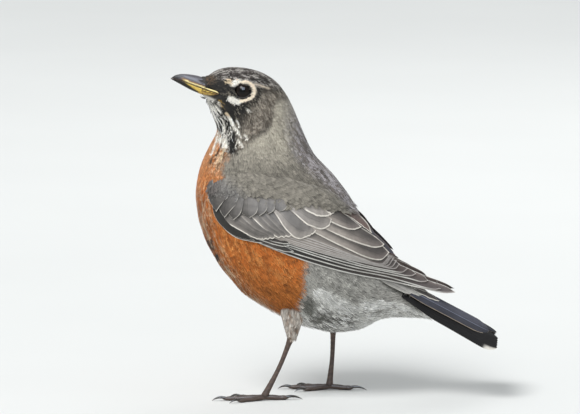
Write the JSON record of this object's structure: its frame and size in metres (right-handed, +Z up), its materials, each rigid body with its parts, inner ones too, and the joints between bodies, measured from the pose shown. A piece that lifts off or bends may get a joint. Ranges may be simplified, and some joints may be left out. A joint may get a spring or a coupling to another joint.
{
  "type": "american robin",
  "caption": "American robin standing on both feet, head up and looking ahead: a still, life-size model of the live bird.",
  "frame": {"origin": "middle of the bounding box's footprint, on the floor under the bird", "axes": "+Z up, the bird faces -Y, its left side is +X"},
  "size_m": [0.0754, 0.1698, 0.1723],
  "materials": {
    "head_plumage": "matte black and dark grey feathers with white round the eye and white throat streaks",
    "neck_plumage": "matte brownish grey feathers, rufous in front",
    "body_plumage": "matte rufous orange breast feathers, brownish grey on the back",
    "vent_plumage": "matte grey and white feathers",
    "thigh_plumage": "short mottled greyish feathers",
    "wing_coverts": "matte grey feathers with pale edges",
    "flight_feathers": "satin dark brown-grey vanes with fine whitish edges",
    "tail_feathers": "satin slate-black vanes with white outer tips",
    "bill_upper": "satin horn, slate grey over a yellow cutting edge",
    "bill_lower": "satin horn, yellow with a dark tip",
    "eye": "wet, very dark brown",
    "leg_skin": "scaled dark brown skin",
    "claw": "satin dark horn"
  },
  "bodies": {
    "root": {"head": "head_plumage", "neck": "neck_plumage", "trunk": "body_plumage", "rump": "vent_plumage", "eye_left": "eye", "eye_right": "eye", "bill_upper": "bill_upper", "bill_lower": "bill_lower", "wing_left_coverts": "wing_coverts", "wing_right_coverts": "wing_coverts", "wing_left_tertials": "flight_feathers", "wing_right_tertials": "flight_feathers", "wing_left_secondaries": "flight_feathers", "wing_right_secondaries": "flight_feathers", "wing_left_primaries": "flight_feathers", "wing_right_primaries": "flight_feathers", "tail_left": "tail_feathers", "tail_right": "tail_feathers", "thigh_left": "thigh_plumage", "shank_left": "leg_skin", "toe_left_middle": "leg_skin", "claw_left_middle": "claw", "toe_left_inner": "leg_skin", "claw_left_inner": "claw", "toe_left_outer": "leg_skin", "claw_left_outer": "claw", "toe_left_hallux": "leg_skin", "claw_left_hallux": "claw", "thigh_right": "thigh_plumage", "shank_right": "leg_skin", "toe_right_middle": "leg_skin", "claw_right_middle": "claw", "toe_right_inner": "leg_skin", "claw_right_inner": "claw", "toe_right_outer": "leg_skin", "claw_right_outer": "claw", "toe_right_hallux": "leg_skin", "claw_right_hallux": "claw"}
  },
  "joints": []
}
